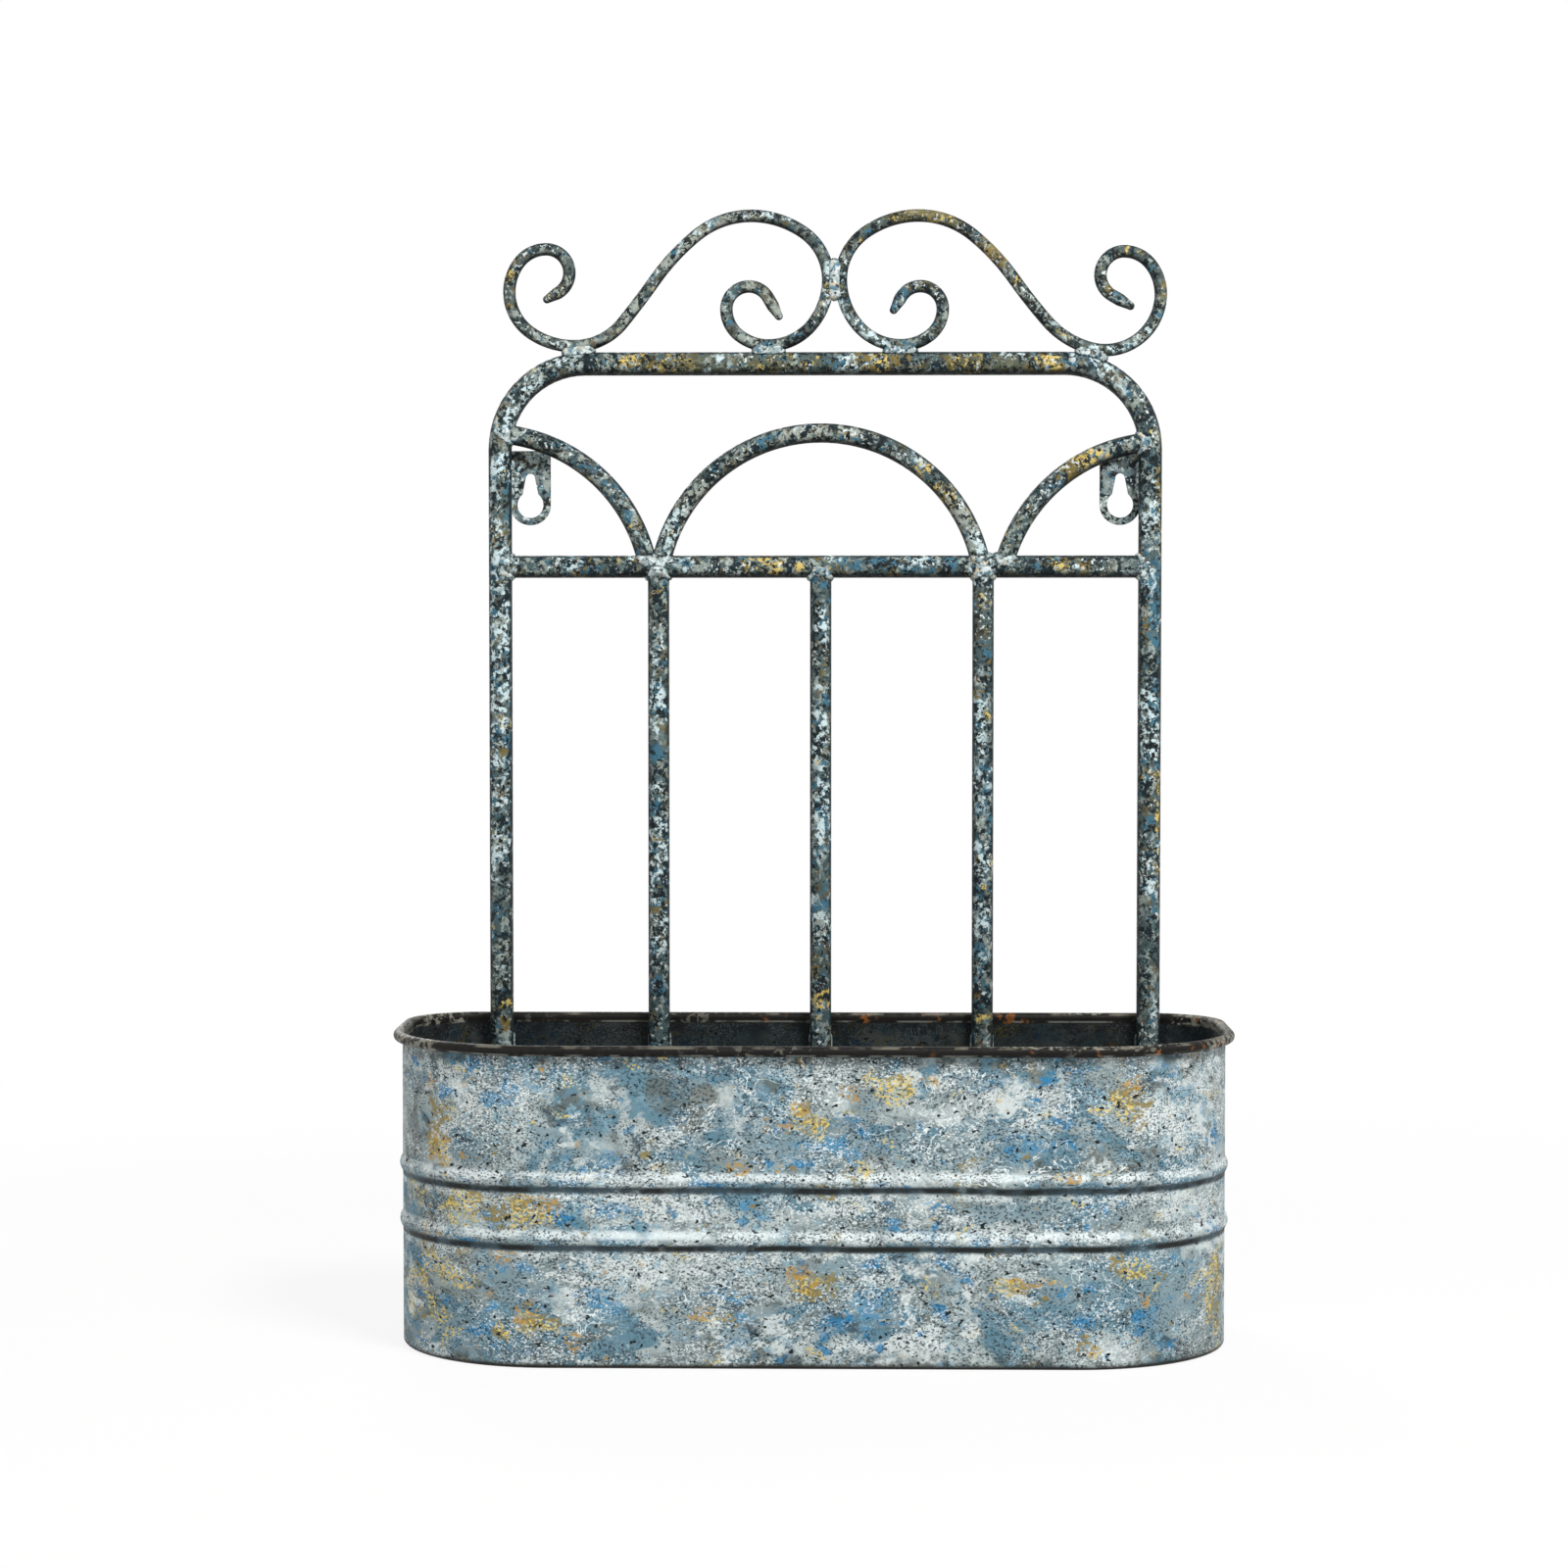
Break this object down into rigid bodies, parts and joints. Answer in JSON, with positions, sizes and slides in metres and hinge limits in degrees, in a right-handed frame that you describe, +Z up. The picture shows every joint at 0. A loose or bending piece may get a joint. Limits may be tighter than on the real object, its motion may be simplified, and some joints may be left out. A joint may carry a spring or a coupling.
{
  "type": "wall planter",
  "caption": "Oval sheet-metal wall planter with beaded sides, a rolled rim and a welded tube trellis topped by scrolls, hung from keyhole tabs.",
  "frame": {"origin": "on the ground under the middle of the trough, at the bottom of the bounding box", "axes": "+Z up, front of the trough towards -Y, wall side towards +Y, +X to the right seen from the front"},
  "size_m": [0.419, 0.159, 0.5698],
  "materials": {
    "trough_paint": "distressed pale grey and blue paint with ochre flecks over galvanised sheet",
    "bare_steel": "plain drawn wire inside the rim",
    "pan_steel": "dull galvanised sheet",
    "trellis_paint": "dark blue-grey paint, speckled and worn, with ochre flecks",
    "scroll_paint": "dark blue-grey paint, speckled and worn, with ochre flecks",
    "tab_paint": "pale blue-grey paint with rust at the top edge",
    "weld_paint": "pale blue-grey paint over weld metal"
  },
  "bodies": {
    "root": {"trough_wall": "trough_paint", "rim_wire": "bare_steel", "base_pan": "pan_steel", "outer_frame": "trellis_paint", "cross_rail": "trellis_paint", "foot_rail": "trellis_paint", "upright_left": "trellis_paint", "upright_centre": "trellis_paint", "upright_right": "trellis_paint", "centre_arch": "trellis_paint", "quarter_arch_left": "trellis_paint", "quarter_arch_right": "trellis_paint", "scroll_left": "scroll_paint", "scroll_right": "scroll_paint", "hanger_left": "tab_paint", "hanger_right": "tab_paint", "rail_welds": "weld_paint", "arch_welds": "weld_paint", "scroll_welds": "weld_paint", "hanger_welds": "weld_paint", "wall_welds": "weld_paint"}
  },
  "joints": []
}
